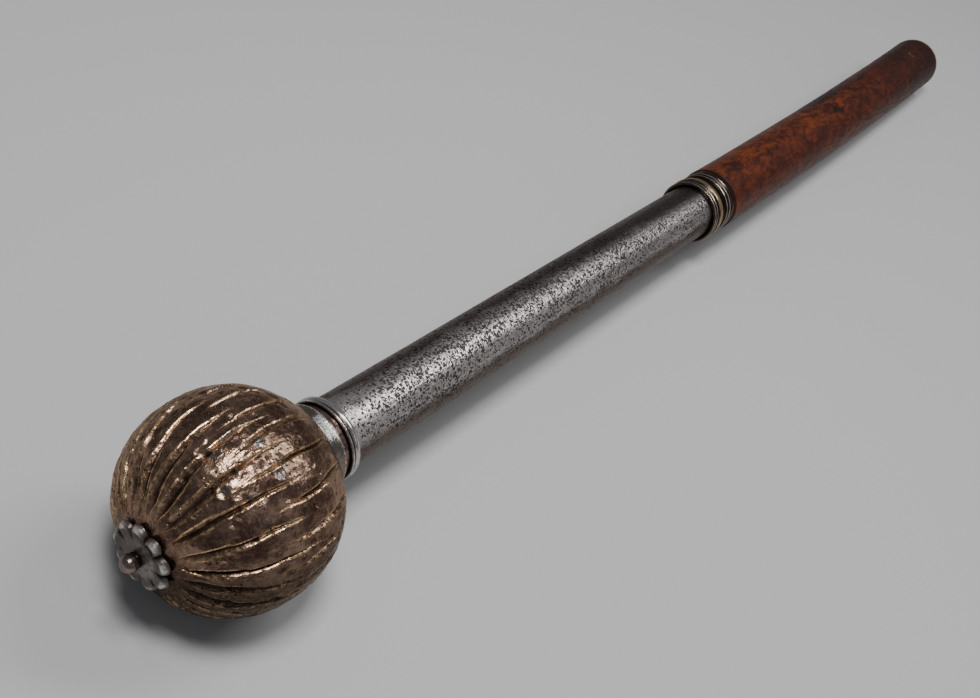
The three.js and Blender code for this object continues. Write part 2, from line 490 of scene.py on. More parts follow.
class Shade:
    """Builds the nodes of one material or node group, one call per node."""

    def __init__(self, tree: bpy.types.NodeTree) -> None:
        """Keep the tree that the nodes go into."""
        self.tree = tree

    def node(self, kind: str, feeds: dict | None = None, **settings: object) -> bpy.types.Node:
        """Add a node, set its properties, and feed its inputs by name or number."""
        made = self.tree.nodes.new(kind)
        for key, value in settings.items():
            setattr(made, key, value)
        for key, value in (feeds or {}).items():
            feed(value, made.inputs[key])
        return made

    def wire(self, kind: str, output: str | int, feeds: dict | None = None, **settings: object) -> Wire:
        """Add a node as above and take one of its outputs."""
        return Wire(self.tree, self.node(kind, feeds, **settings).outputs[output])

    def mask(self, name: str) -> Wire:
        """A mask of the mesh, as a value."""
        return self.wire("ShaderNodeAttribute", "Fac", attribute_name=name)

    def own(self) -> Wire:
        """The place of each point in the mace's own frame, in metres."""
        return self.wire("ShaderNodeAttribute", "Vector", attribute_name="own")

    def stretch(self, vector: Wire, along: float, across: float = 1.0) -> Wire:
        """Scale a vector along the mace's axis and across it."""
        return self.wire("ShaderNodeMapping", "Vector", {"Vector": vector, "Scale": (along, across, across)})

    def noise(
        self, vector: Wire, grain: float, detail: float = 4.0, rough: float = 0.55, twist: float = 0.0
    ) -> Wire:
        """Noise whose main grain is a size in millimetres."""
        feeds = {"Vector": vector, "Scale": 1.0 / (grain * MM), "Detail": detail, "Roughness": rough}
        return self.wire("ShaderNodeTexNoise", "Fac", feeds | {"Distortion": twist})

    def cells(self, vector: Wire, spacing: float) -> tuple[Wire, Wire]:
        """Scattered points: the distance to one, as a share of the spacing, and its own number."""
        made = self.node("ShaderNodeTexVoronoi", {"Vector": vector, "Scale": 1.0 / (spacing * MM)})
        return Wire(self.tree, made.outputs["Distance"]), Wire(self.tree, made.outputs["Color"])

    def step(self, value: Wire, start: float, end: float, low: float = 0.0, high: float = 1.0) -> Wire:
        """A smooth step of a value from start to end, between two levels."""
        feeds = {"Value": value, "From Min": start, "From Max": end, "To Min": low, "To Max": high}
        return self.wire("ShaderNodeMapRange", "Result", feeds, interpolation_type="SMOOTHSTEP")

    def layers(self, base: object, *layers: tuple[Wire, object]) -> Wire:
        """Lay colours over a base colour, each by its own share, the last one on top."""
        for share, tint in layers:
            base = self.wire("ShaderNodeMix", 2, {0: share, 6: base, 7: tint}, data_type="RGBA")
        return base

    def group(self, tree: bpy.types.NodeTree, output: str, **values: object) -> Wire:
        """Place a shared node group, feed its inputs and take its output."""
        return self.wire("ShaderNodeGroup", output, values, node_tree=tree)

    def bump(self, height: Wire, distance: float, strength: float = 1.0) -> Wire:
        """A bumped normal whose height of one stands for a distance in millimetres."""
        feeds = {"Height": height, "Distance": distance * MM, "Strength": strength}
        return self.wire("ShaderNodeBump", "Normal", feeds)


class Dress(Shade):
    """Builds one material around its principled shader."""

    def __init__(self, name: str) -> None:
        """Start the material."""
        self.material = bpy.data.materials.new(name)
        self.material.use_nodes = True
        super().__init__(self.material.node_tree)

    def stains(
        self, mottle: bpy.types.NodeTree, vector: Wire, light: object, dark: object, amount: float
    ) -> Wire:
        """Cloudy stains of a dark colour on a light one."""
        return self.group(mottle, "Color", Vector=vector, Light=light, Dark=dark, Amount=amount)

    def finish(self, tint: object, rough: object, **others: object) -> bpy.types.Material:
        """Feed the shader and hand over the material.

        Args:
            tint: the base colour.
            rough: the roughness.
            others: further inputs by name, with _ for a space.

        Returns:
            The finished material.
        """
        shader = self.tree.nodes["Principled BSDF"]
        for key, value in ({"Base_Color": tint, "Roughness": rough} | others).items():
            feed(value, shader.inputs[key.replace("_", " ")])
        return self.material


def colour(red: float, green: float, blue: float) -> tuple[float, float, float, float]:
    """A solid linear colour."""
    return (red, green, blue, 1.0)


VECTOR, COLOUR, VALUE = "NodeSocketVector", "NodeSocketColor", "NodeSocketFloat"


def new_group(name: str, inputs: dict[str, str], output: tuple[str, str]) -> tuple[Shade, list[Wire]]:
    """Start a shared node group.

    Args:
        name: the group's name.
        inputs: input names and their socket types.
        output: the name and the socket type of the only output.

    Returns:
        A builder for the group, and a wire from each input.
    """
    tree = bpy.data.node_groups.new(name, "ShaderNodeTree")
    for key, kind in inputs.items():
        tree.interface.new_socket(name=key, in_out="INPUT", socket_type=kind)
    tree.interface.new_socket(name=output[0], in_out="OUTPUT", socket_type=output[1])
    shade = Shade(tree)
    start = shade.node("NodeGroupInput")
    return shade, [Wire(tree, start.outputs[key]) for key in inputs]


def make_mottle() -> bpy.types.NodeTree:
    """Cloudy stains: three grains of noise mix a light and a dark colour."""
    inputs = {"Vector": VECTOR, "Light": COLOUR, "Dark": COLOUR, "Amount": VALUE}
    shade, (vector, light, dark, amount) = new_group("mottle", inputs, ("Color", COLOUR))
    clouds = shade.noise(vector, 14.0, 3.0) * 0.4 + shade.noise(vector, 4.0, 5.0, 0.65) * 0.4
    clouds = clouds + shade.noise(vector, 0.9, 3.0, 0.6) * 0.2
    tint = shade.layers(light, (shade.step(clouds, 0.4, 0.6) * amount, dark))
    shade.node("NodeGroupOutput", {"Color": tint})
    return shade.tree


def make_specks() -> bpy.types.NodeTree:
    """Small ragged pits: two jittered scatters whose reach is broken up by noise."""
    shade, (vector, spread) = new_group("specks", {"Vector": VECTOR, "Spread": VALUE}, ("Mask", VALUE))
    ragged = shade.noise(vector, 0.7, 2.0) * 0.35
    reach = spread + shade.step(shade.noise(vector, 9.0, 3.0), 0.35, 0.65, -0.16, 0.12)
    coarse, small = [reach - (shade.cells(vector, spacing)[0] + ragged) for spacing in (1.7, 0.85)]
    shade.node("NodeGroupOutput", {"Mask": shade.step(coarse.largest(small), -0.05, 0.1)})
    return shade.tree


def make_pitting() -> bpy.types.NodeTree:
    """Crowded round pits of two grains: each cell's own number and the crowd set its reach."""
    shade, (vector, crowd) = new_group("pitting", {"Vector": VECTOR, "Crowd": VALUE}, ("Mask", VALUE))
    ragged = shade.noise(vector, 0.45, 2.0) * 0.3
    crowd = shade.step(crowd, 0.0, 1.0, -0.6, -0.16)
    masks = []
    for spacing in (1.05, 0.7):
        distance, number = shade.cells(vector, spacing)
        masks.append(shade.step((number + crowd) - (distance + ragged), -0.2, -0.06))
    shade.node("NodeGroupOutput", {"Mask": masks[0].largest(masks[1])})
    return shade.tree


@dataclass(frozen=True)
class SharedGroups:
    """The node groups that the materials share."""

    mottle: bpy.types.NodeTree
    specks: bpy.types.NodeTree
    pitting: bpy.types.NodeTree


@dataclass(frozen=True)
class HeadFinish:
    """Brown patina with golden edges where it wears through, cool grey patches and a bare neck, darkened by
    painted shade on its sides and underside; the neck carries a painted highlight on its top.
    """

    brown: tuple = colour(0.31, 0.2, 0.14)
    umber: tuple = colour(0.1, 0.054, 0.042)
    gold: tuple = colour(0.84, 0.565, 0.3)
    cool: tuple = colour(0.125, 0.13, 0.13)
    neck: tuple = colour(0.20, 0.17, 0.148)
    # Colour of the painted highlight on the neck and of the line round its rim.
    bright: tuple = colour(0.74, 0.72, 0.7)
    # Colour of the painted shade.
    painted_shade_tint: tuple = colour(0.018, 0.0135, 0.0115)
    dirt: tuple = colour(0.018, 0.011, 0.008)
    sheen: tuple = colour(0.72, 0.64, 0.58)

    def build(self, groups: SharedGroups) -> bpy.types.Material:
        """Make the material, which reads the masks groove, edge, bare and neck, the mask of painted shade on
        the sides and underside, and bright: a painted highlight on the neck's top and a pale line round its
        rim.

        Args:
            groups: the shared node groups.

        Returns:
            The material.
        """
        shade = Dress("head_patina")
        own, painted_shade, neck, bright = shade.own(), shade.mask("painted_shade"), shade.mask("neck"), shade.mask("bright")
        stained = shade.stains(groups.mottle, own, self.brown, self.umber, 0.95)
        breakup = shade.noise(own, 1.3, 5.0, 0.65)
        wear = shade.step(shade.mask("edge"), 0.15, 0.85) * shade.step(breakup, 0.38, 0.56, 0.15, 1.0)
        # Less gold where the shade is painted on.
        wear = wear * shade.step(painted_shade, 0.0, 1.0, 1.0, 0.25)
        patches = shade.noise(own, 3.6, 6.0, 0.6) + shade.mask("bare") * 0.13
        glints = shade.noise(own, 0.7, 3.0, 0.6) - 0.5
        groove = shade.step(shade.mask("groove"), 0.4, 1.0, 0.0, 0.86)
        pits = shade.group(groups.specks, "Mask", Vector=own, Spread=0.31)
        pits = pits * shade.step(neck, 0.0, 1.0, 1.0, 0.5)
        tint = shade.layers(
            stained,
            # Painted shade: the sides and the underside are darkened.
            (painted_shade * shade.step(breakup, 0.2, 0.8, 1.0, 0.6), self.painted_shade_tint),
            (wear, self.gold),
            (shade.step(patches, 0.66, 0.72, 0.0, 0.75), self.cool),
            (shade.step(neck + (breakup - 0.5) * 0.9, 0.4, 0.6), self.neck),
            # Painted highlight: pale steel on the neck's top, broken up by noise, and a pale line round its
            # rim.
            (shade.step(bright + glints * 2.4, 0.45, 0.85), self.bright),
            (groove, self.dirt),
            (pits * 0.8, self.dirt),
        )
        rough = shade.step(breakup, 0.25, 0.75, 0.17, 0.34) + groove * 0.25 - wear * 0.06
        height = shade.noise(own, 1.7, 3.0, 0.55) + pits * -0.6 + glints * bright
        normal = shade.bump(height, 0.26)
        return shade.finish(tint, rough, Metallic=0.92, Specular_Tint=self.sheen, Normal=normal)


@dataclass(frozen=True)
class IronFinish:
    """Dark iron, scuffed by use, with brown stains and pale high spots; on the washer the pale spots also
    hold painted highlights and painted light.
    """

    name: str
    iron: tuple = colour(0.13, 0.112, 0.105)
    stain: tuple = colour(0.09, 0.068, 0.06)
    # Colour of the scuffed high spots, and of the painted highlights and painted light on the washer.
    rubbed_and_painted_light: tuple = colour(0.58, 0.55, 0.52)
    dirt: tuple = colour(0.012, 0.009, 0.008)
    sheen: tuple = colour(0.6, 0.58, 0.56)
    polish: float = 0.3
    metal: float = 0.9

    def build(self, groups: SharedGroups) -> bpy.types.Material:
        """Make the material, which reads the masks edge and groove.

        Args:
            groups: the shared node groups.

        Returns:
            The material.
        """
        shade = Dress(self.name)
        own = shade.own()
        stained = shade.stains(groups.mottle, own, self.iron, self.stain, 0.8)
        breakup = shade.noise(own, 1.1, 4.0, 0.55)
        wear = shade.mask("edge") * shade.step(breakup, 0.3, 0.6, 0.3, 1.0)
        tint = shade.layers(stained, (wear, self.rubbed_and_painted_light), (shade.mask("groove") * 0.9, self.dirt))
        rough = shade.step(breakup, 0.25, 0.75, self.polish, self.polish + 0.14) - wear * 0.08
        normal = shade.bump(shade.noise(own, 0.8, 3.0, 0.5), 0.09, 0.6)
        return shade.finish(tint, rough, Metallic=self.metal, Specular_Tint=self.sheen, Normal=normal)


@dataclass(frozen=True)
class HaftFinish:
    """Grey steel crowded with fine black pits, under a brown-black coat on its sides that is partly brown
    patina and partly painted shade.
    """

    steel: tuple = colour(0.62, 0.572, 0.552)
    # Colour of the brown patina, and of the painted shade on the sides.
    brown: tuple = colour(0.105, 0.084, 0.075)
    pit: tuple = colour(0.013, 0.010, 0.009)
    dirt: tuple = colour(0.022, 0.013, 0.010)
    rust: tuple = colour(0.17, 0.082, 0.045)
    sheen: tuple = colour(0.64, 0.61, 0.6)

    def build(self, groups: SharedGroups) -> bpy.types.Material:
        """Make the material, which reads the masks pit, speck, bead, groove and rust, and the mask of the
        brown coat with its painted shade.

        Args:
            groups: the shared node groups.

        Returns:
            The material.
        """
        shade = Dress("pitted_steel")
        own, speck, bead = shade.own(), shade.mask("speck"), shade.mask("bead")
        streaks = shade.noise(shade.stretch(own, 0.14), 1.6, 5.0, 0.6)
        clouds = shade.noise(shade.stretch(own, 0.5), 9.0, 6.0, 0.65)
        grit = streaks + shade.noise(own, 0.8, 3.0, 0.7)
        film_and_painted_shade = shade.mask("film_and_painted_shade") + (clouds - 0.5) * 0.9 + (grit - 1.0) * 0.75
        dots = shade.group(groups.pitting, "Mask", Vector=own, Crowd=speck) * shade.step(speck, 0.0, 0.25)
        pits = shade.mask("pit").largest(dots * 0.9)
        tint = shade.layers(
            self.steel,
            # Brown patina, and painted shade on the sides and towards the grip.
            (shade.step(film_and_painted_shade, 0.1, 0.9, 0.0, 0.96), self.brown),
            (shade.step(shade.noise(own, 0.55, 3.0, 0.7), 0.5, 0.66, 0.0, 0.55), self.brown),
            (pits, self.pit),
            (shade.mask("rust") * shade.step(grit, 0.8, 1.2, 0.95, 0.55), self.rust),
            (shade.mask("groove") * 0.92, self.dirt),
        )
        rough = shade.step(streaks, 0.25, 0.75, 0.25, 0.36) + pits * 0.3 - bead * 0.11
        height = shade.noise(shade.stretch(own, 1.0, 0.45), 0.7, 3.0, 0.6) * 0.9 - dots * 0.8
        normal = shade.bump(height * shade.step(bead, 0.0, 1.0, 1.0, 0.25), 0.2, 0.9)
        return shade.finish(tint, rough, Metallic=0.95, Specular_Tint=self.sheen, Normal=normal)


@dataclass(frozen=True)
class FerruleFinish:
    """Turned steel: polished warm crests over dark, greasy hollows."""

    steel: tuple = colour(0.78, 0.7, 0.6)
    brass: tuple = colour(0.62, 0.46, 0.25)
    brown: tuple = colour(0.07, 0.05, 0.041)
    grease: tuple = colour(0.03, 0.021, 0.016)
    sheen: tuple = colour(0.7, 0.65, 0.6)

    def build(self, groups: SharedGroups) -> bpy.types.Material:
        """Make the material, which reads the masks crest, brass and groove.

        Args:
            groups: the shared node groups.

        Returns:
            The material.
        """
        shade = Dress("ferrule_steel")
        own = shade.own()
        crest = shade.mask("crest") + (shade.noise(own, 0.9, 4.0, 0.65) - 0.5) * 0.9
        metal = shade.layers(self.steel, (shade.mask("brass"), self.brass))
        tint = shade.layers(self.brown, (shade.step(crest, 0.35, 0.85), metal))
        stained = shade.stains(groups.mottle, own, tint, self.brown, 0.6)
        tint = shade.layers(stained, (shade.mask("groove"), self.grease))
        rough = shade.step(shade.noise(shade.stretch(own, 1.0, 0.06), 0.35, 2.0), 0.3, 0.7, 0.17, 0.32)
        normal = shade.bump(shade.noise(own, 0.7), 0.07, 0.7)
        return shade.finish(tint, rough, Metallic=0.93, Specular_Tint=self.sheen, Normal=normal)


@dataclass(frozen=True)
class WoodFinish:
    """Waxed burl wood: red-brown swirls, dark knots and pits, nearly black at its end, with an orange glow of
    painted light on the upper +y side of its front half.
    """

    red: tuple = colour(0.056, 0.0108, 0.0064)
    orange: tuple = colour(0.118, 0.0235, 0.006)
    # Colour of the painted light on the upper side.
    glow: tuple = colour(0.15, 0.033, 0.007)
    dark: tuple = colour(0.01, 0.0045, 0.004)
    pit: tuple = colour(0.009, 0.006, 0.005)
    pale: tuple = colour(0.15, 0.125, 0.115)
    tan: tuple = colour(0.3, 0.19, 0.09)
    end_light: tuple = colour(0.075, 0.034, 0.018)
    end_dark: tuple = colour(0.02, 0.009, 0.006)

    def build(self, groups: SharedGroups) -> bpy.types.Material:
        """Make the material, which reads the masks age, warm, blot, pit, pale, rim, end and ring; warm places
        the painted light.

        Args:
            groups: the shared node groups.

        Returns:
            The material.
        """
        shade = Dress("burl_wood")
        own = shade.own()
        figure = shade.noise(shade.stretch(own, 0.55), 6.5, 6.0, 0.5, twist=1.8)
        fibres = shade.noise(shade.stretch(own, 0.12), 0.9, 4.0, 0.6)
        flecks = shade.noise(shade.stretch(own, 0.5), 1.5, 4.0, 0.7)
        # Painted light: an orange glow on the upper +y side, in the lighter parts of the figure.
        glow = shade.mask("warm") * shade.step(figure, 0.62, 0.4)
        wood = shade.layers(self.orange, (shade.step(figure, 0.34, 0.66), self.red), (glow, self.glow))
        stained = shade.stains(groups.mottle, shade.stretch(own, 0.6), wood, self.dark, 0.6)
        tint = shade.layers(
            stained,
            (shade.step(fibres, 0.5, 0.75, 0.0, 0.4), self.dark),
            (shade.step(flecks, 0.6, 0.7, 0.0, 0.7), self.dark),
            (shade.step(shade.mask("blot") + (figure - 0.5) * 0.9, 0.3, 0.8, 0.0, 0.9), self.dark),
            (shade.mask("age") * 0.85, self.dark),
            (shade.mask("end"), shade.layers(self.end_light, (shade.mask("ring"), self.end_dark))),
            (shade.mask("pale"), self.pale),
            (shade.mask("rim") * shade.step(flecks, 0.25, 0.5), self.tan),
            (shade.mask("pit"), self.pit),
        )
        height = fibres * 0.3 + figure * 0.6 - shade.step(flecks, 0.6, 0.7) * 0.25
        rough = shade.step(fibres, 0.3, 0.7, 0.4, 0.56)
        return shade.finish(tint, rough, Specular_IOR_Level=0.16, Normal=shade.bump(height, 0.32, 0.7))


def floor_material() -> bpy.types.Material:
    """A plain pale matt floor."""
    return Dress("studio_floor").finish(colour(0.48, 0.48, 0.477), 0.85, Specular_IOR_Level=0.2)


# The pieces


class Hollow(Enum):
    """The forms of a single mark in the head."""

    BOWL = "bowl"
    RING = "ring"


@dataclass(frozen=True)
class Mark:
    """One dent or gouge in the head, placed by latitude and angle in degrees."""

    latitude: float
    angle: float
    length: float
    width: float
    tilt: float
    depth: float
    form: Hollow = Hollow.BOWL
    millimetres_a_degree: float = 0.56

    def hollow(self, latitude: Array, angle: Array, radius: Array) -> Array:
        """Depth in millimetres: an ellipse's bowl 1 - e^2, or a ring that peaks near its rim.

        Args:
            latitude: (rows, 1) degrees from the front pole.
            angle: (rows, columns) radians about the axis.
            radius: (rows, 1) distance from the axis.

        Returns:
            The depth on the grid.
        """
        along = (latitude - self.latitude) * self.millimetres_a_degree
        across = ((angle - math.radians(self.angle) + np.pi) % FULL_TURN - np.pi) * radius
        turn = math.radians(self.tilt)
        u = (along * math.cos(turn) + across * math.sin(turn)) / self.length
        v = (across * math.cos(turn) - along * math.sin(turn)) / self.width
        reach = np.sqrt(u * u + v * v)
        if self.form is Hollow.RING:
            return self.depth * bell(reach, 0.72, 0.3)
        return self.depth * unit(1 - reach * reach)


@dataclass
class RibbedHead:
    """The round head: two interlocking sets of meridional grooves, hammered ribs and a neck.

    Depths and rises are millimetres, and latitudes are degrees from the front pole. Each row of
    dents is a depth, a grain size, the layers of its noise and a seed.
    """

    sizes: MaceSizes
    steps_per_rib: int = 11
    row_step: float = 0.62
    skin_drop: float = 0.2
    bowl_depth: float = 0.44
    bowl_rim: float = 0.13
    lip_rise: float = 0.2
    thread_rise: float = 0.05
    shoulder_drop: float = 0.24
    least_drop: float = 0.07
    dents: tuple = ((0.16, 9.0, 2, 21), (0.21, 3.4, 2, 22), (0.12, 1.5, 1, 23))
    carving_fades: tuple = (138.0, 152.0)
    finish: HeadFinish = HeadFinish()
    marks: tuple[Mark, ...] = (
        Mark(41, 19, 1.5, 1.4, 0, 0.55, Hollow.RING),
        Mark(61, -6, 2.2, 0.9, 50, 0.6),
        Mark(95, 48, 2.0, 1.0, 70, 0.7),
        Mark(56, 33, 2.4, 1.2, 20, 0.45),
        Mark(80, 18, 3.0, 1.6, -30, 0.4),
        Mark(68, 17, 3.4, 1.8, 10, 0.35),
        Mark(105, 8, 1.6, 1.1, 0, 0.5, Hollow.RING),
        Mark(113, 5, 0.9, 0.8, 0, 0.6),
        Mark(31, 70, 3.0, 1.0, 8, 0.5),
        Mark(44, 66, 2.6, 0.9, -6, 0.5),
        Mark(88, 62, 1.8, 1.3, 40, 0.5),
        Mark(75, 75, 2.2, 1.2, 0, 0.45),
        Mark(70, -45, 2.4, 1.0, 0, 0.45),
        Mark(96, 150, 2.0, 1.3, 30, 0.5),
        Mark(62, -120, 1.8, 1.2, 60, 0.5),
    )

    def line_angles(self) -> Array:
        """Mean angles in degrees of all groove lines, front and rear in turn, the first one again last.

        The front lines are even steps plus two slow sines, as hand work wanders. A rear line
        lies halfway between two front ones.
        """
        count = self.sizes.rib_count
        turn = FULL_TURN * np.arange(count + 1) / count
        front = -43.2 + np.degrees(turn) + 4.9 * np.sin(2 * turn + 3.46) + np.sin(5 * turn - 0.785)
        rear = (front[:-1] + front[1:]) / 2
        return np.append(np.stack([front[:-1], rear], -1).ravel(), front[-1])

    def outline(self, latitude: Array) -> Array:
        """The plain outline at latitudes in degrees from the front pole.

        With t the turn from the equator and p the roundness, the point is
        (length |sin t|^(2/p), radius cos(t)^(2/p)).

        Args:
            latitude: degrees from the front pole.

        Returns:
            (n, 2) points, [x, radius].
        """
        t = np.radians(latitude - 90.0)
        power = 2 / self.sizes.head_roundness
        length = np.where(t < 0, -self.sizes.head_front, self.sizes.head_rear)
        x = length * np.abs(np.sin(t)) ** power
        return np.stack([x, self.sizes.head_radius * np.abs(np.cos(t)) ** power], -1)

    def profile(self) -> tuple[Array, Array]:
        """The whole outline from the front pole to the neck's open end.

        Returns:
            (rows, 2) points, and each row's latitude, which goes on past the root on the neck.
        """
        s = self.sizes
        root = 90.0 + math.degrees(s.root_turn)
        latitude = np.linspace(0.4, root, 400)
        neck = np.array(
            [
                [s.neck_start + 0.3 * s.neck_length, s.neck_radius + 0.3 * s.neck_flare],
                [s.neck_end - 1.0, s.neck_radius - 0.15],
                [s.neck_end - 0.75, s.neck_radius],
                [s.neck_end - 0.15, s.neck_radius],
                [s.neck_end, s.neck_radius - 0.25],
                [s.neck_end, AXIS_GAP],
            ]
        )
        corners = np.concatenate([self.outline(latitude), neck])
        along = np.concatenate([latitude, root + 4.0 * np.arange(1, len(neck) + 1)])
        run = run_along(corners)
        rows = profile_by_length(corners, self.row_step, 0.5)
        return rows, np.interp(np.linspace(0.0, run[-1], len(rows)), run, along)

    def carve(self, latitude: Array, radius: Array) -> tuple[Array, Array, Array, Array]:
        """The grid's angles and the grooves on it.

        Each rib's columns run from one groove line to the next and crowd near both, and the
        lines wander along the latitude, so a column lies in the bottom of every groove. The
        depth falls evenly from a line to the groove's side, whose width differs from groove
        to groove and from side to side, and a narrow lip stands beyond it.

        Args:
            latitude: (rows, 1) degrees from the front pole.
            radius: (rows, 1) distance from the axis.

        Returns:
            Angles in radians, groove depth share, lip share, and the soft dip beside a groove.
        """
        base = self.line_angles()
        lines = len(base) - 1
        number = np.arange(lines + 1) % lines
        keys = np.stack(np.broadcast_arrays(number[:, None], np.arange(8)[None, :], 3), -1)
        pick = lattice(keys, 11).T
        wander = 0.8 * np.sin(latitude / 13.0 + 6.3 * pick[0]) + 0.3 * np.sin(latitude / 4.7 + 6.3 * pick[1])
        angles = np.radians(base + wander)
        front = ease(latitude, 13, 31) * ease(latitude, 13 + 5 * pick[2], 30)
        front = front * (1 - ease(latitude, 66, 92 + 12 * pick[3]))
        rear = ease(latitude, 60 + 14 * pick[2], 98) * (1 - ease(latitude, 114, 140))
        cut = np.where(number % 2 == 0, front, rear)
        width = self.sizes.groove_half_width * (0.4 + 0.6 * cut) * np.minimum(radius / 20.0, 1.0)
        width = width * (0.8 + 0.6 * swell(latitude, 18, 30, 46, 66))
        before, after = width * (0.65 + 0.7 * pick[4]), width * (0.65 + 0.7 * pick[5])
        strength = cut * (0.65 + 0.45 * pick[6])
        share = np.arange(self.steps_per_rib) / self.steps_per_rib
        share = np.tile(share - 0.5 * np.sin(FULL_TURN * share) / FULL_TURN, lines)
        left = np.repeat(np.arange(lines), self.steps_per_rib)
        right = left + 1
        angle = angles[:, left] + (angles[:, right] - angles[:, left]) * share
        from_left = (angle - angles[:, left]) * radius
        from_right = (angles[:, right] - angle) * radius
        groove, lip, soft = np.zeros((3, *angle.shape))
        for line, distance, side in ((left, from_left, after), (right, from_right, before)):
            force, reach = strength[:, line], side[:, line]
            groove = np.maximum(groove, force * unit(1 - distance / reach))
            lip = np.maximum(lip, np.sqrt(unit(force)) * bell(distance, reach, 0.2))
            soft = np.maximum(soft, force * np.exp(-distance / 2.2))
        return angle, groove, lip, soft

    def surface(self) -> Surface:
        """The carved head.

        Returns:
            The grid of points with the masks groove, edge, bare, neck and bright, and the mask of painted
            shade on the sides and underside; bright is a painted highlight on the neck's top with a pale line
            round its rim.
        """
        s = self.sizes
        rows, latitude = self.profile()
        normals = outward_normals(rows)
        latitude, (x, radius) = latitude[:, None], rows.T[..., None]
        angle, groove, lip, soft = self.carve(latitude, radius)
        plain = around(x, radius, angle)
        carved = 1 - ease(latitude, *self.carving_fades)
        uneven = 0.5 + 0.5 * layered_noise(plain, 4.0, 3, 20)
        lip = lip * (1 - groove) * (0.35 + 0.9 * uneven)
        circle = np.broadcast_arrays(24 * np.cos(angle), 24 * np.sin(angle), latitude / 19.0)
        threads = (1 - np.abs(smooth_noise(np.stack(circle, -1), 25))) ** 12 * carved * ease(latitude, 22, 40)
        dents = sum(depth * layered_noise(plain, *grain) for depth, *grain in self.dents)
        apart, size = spots(plain, 4.8, 0.7, 35)
        edge = apart / (0.9 + 1.5 * size)
        dip = unit(1 - edge * edge)
        bowls = self.bowl_depth * dip - self.bowl_rim * bell(edge, 1.05, 0.25)
        below_front = ease(latitude, 30, 45)
        dents = dents - bowls * below_front
        reach, kind = spots(plain, 3.1, 0.5, 31)
        pits = unit(1 - reach / (0.35 + 0.8 * kind)) ** 0.6 * (0.2 + 0.4 * kind)
        hollow = sum(mark.hollow(latitude, angle, radius) for mark in self.marks)
        shape = dents - pits - hollow - self.shoulder_drop * soft
        shape = shape + self.lip_rise * lip + self.thread_rise * threads
        height = -self.skin_drop * carved - s.groove_depth * groove + carved * shape
        height = height + (1 - carved) * (0.1 * dents - 0.05)
        # The skin stays a little under the solid's skin everywhere, so it bends off softly there.
        least = self.least_drop
        height = -least * (1 + np.log1p(np.exp(-(height + 0.06) / least))) * ease(latitude, 0.0, 6.0)
        moved_x, moved_radius = x + height * normals[:, :1], radius + height * normals[:, 1:]
        points = around(moved_x, moved_radius, angle)
        points[..., 1] -= s.head_side_shift * (1 - ease(moved_x, s.neck_start, s.neck_end))
        degrees = signed_degrees(angle)
        rim = ease(x, s.neck_end - 0.9, s.neck_end - 0.5)
        # Painted highlight: a pale patch on the top of the neck, where the light falls.
        painted_neck_highlight = ease(moved_x, s.neck_start - 0.2, s.neck_start + 1.6) * swell(degrees, -16, -2, 18, 44)
        sunk = 1.2 * pits + 0.2 * dip * below_front
        flank = swell(groove, 0.02, 0.12, 0.3, 0.7)
        masks = {
            "groove": unit(groove + 0.9 * hollow + sunk * carved),
            "edge": unit(0.3 * flank + 1.1 * lip + 0.3 * threads) * carved,
            # Painted shade: darker on the -y side, and below on the +y side.
            "painted_shade": np.maximum(ease(degrees, 50, 92), ease(-degrees, 84, 134)) * carved,
            "bare": swell(latitude, 34, 58, 84, 110) * swell(degrees, -30, 0, 26, 60) * (0.55 + 0.95 * dip),
            "neck": ease(moved_x, s.neck_start - 1.5, s.neck_start + 2.5),
            # The painted highlight on the neck's top, and a pale line round its rim.
            "bright": unit(painted_neck_highlight + 0.8 * rim),
        }
        return Surface("head", "ribbed_head", points, masks)

    def make(self, mace: MaceFrame, groups: SharedGroups) -> bpy.types.Object:
        """Build and dress the head."""
        piece = self.surface().build(mace, self.finish.build(groups), flat_on_floor=True)
        return piece


def head_front(sizes: MaceSizes, distance: Array, rise: Array) -> Array:
    """Place of the head's front skin at a distance from the axis, raised along the axis."""
    share = unit(distance / sizes.head_radius)
    inside = unit(1 - share**sizes.head_roundness)
    return -sizes.head_front * inside ** (1 / sizes.head_roundness) - rise


